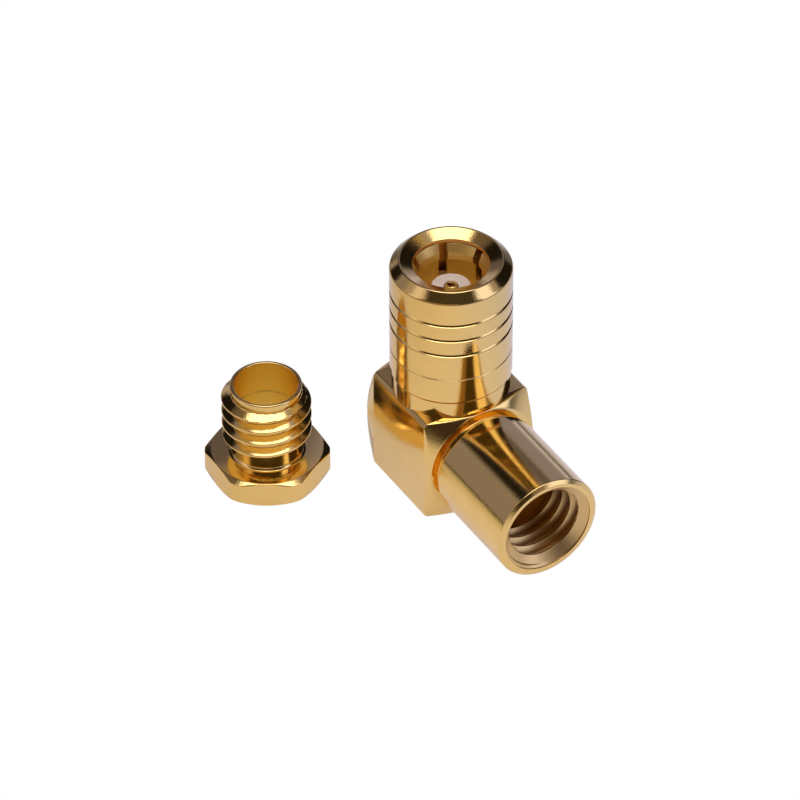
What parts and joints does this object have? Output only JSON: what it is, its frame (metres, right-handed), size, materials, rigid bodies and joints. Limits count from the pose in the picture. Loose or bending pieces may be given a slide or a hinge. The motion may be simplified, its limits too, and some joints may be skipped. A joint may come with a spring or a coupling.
{
  "type": "right angle coaxial connector plug",
  "caption": "Right angle push-on coaxial plug: square elbow body, grooved sleeve over a slotted spring contact, threaded cable barrel and a loose hex clamp nut.",
  "frame": {"origin": "on the resting face of the block, straight under the mating axis", "axes": "+Z along the mating axis out of the sleeve's mouth, +X along the cable axis out of the barrel's mouth"},
  "size_m": [0.0179, 0.0143, 0.0143],
  "materials": {
    "gold_plating": "polished gold plating over brass",
    "contact_gold": "gold plating over a copper alloy",
    "ptfe": "satin white, turned"
  },
  "bodies": {
    "root": {"elbow_body": "gold_plating", "coupling_sleeve": "gold_plating", "outer_contact": "gold_plating", "dielectric": "ptfe", "centre_contact": "contact_gold", "access_cap": "gold_plating", "clamp_nut": "gold_plating"}
  },
  "joints": []
}
